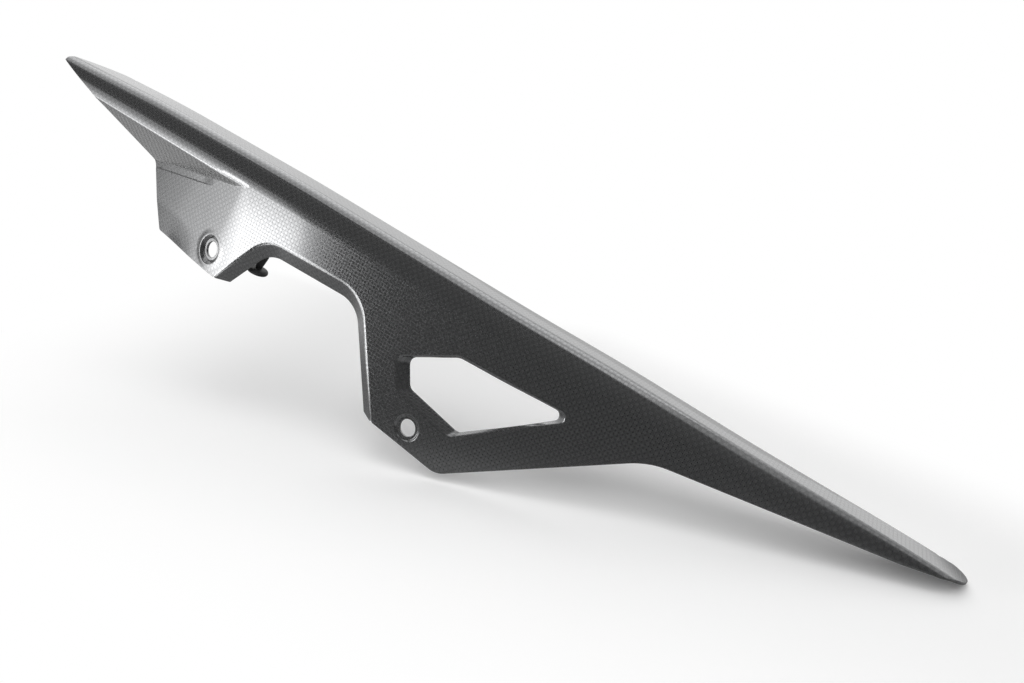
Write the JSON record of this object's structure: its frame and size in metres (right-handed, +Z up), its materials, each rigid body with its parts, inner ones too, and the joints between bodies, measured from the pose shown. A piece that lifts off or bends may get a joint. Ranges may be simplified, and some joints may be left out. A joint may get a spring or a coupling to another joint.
{
  "type": "motorcycle chain guard",
  "caption": "Thin moulded chain guard with a pointed nose, two recessed mounting tabs, a lipped arch, a bevelled window and a tapering tail.",
  "frame": {"origin": "centre of the rear mounting bore, on the floor of its recess", "axes": "+X along the guard to the tail, -Y out of the outer wall face along the rear bore, +Z up"},
  "size_m": [0.5937, 0.03, 0.1009],
  "materials": {
    "carbon": "satin clear coat over woven carbon fibre",
    "peg": "matt"
  },
  "bodies": {
    "root": {"guard_shell": "carbon", "locating_peg": "peg"}
  },
  "joints": []
}
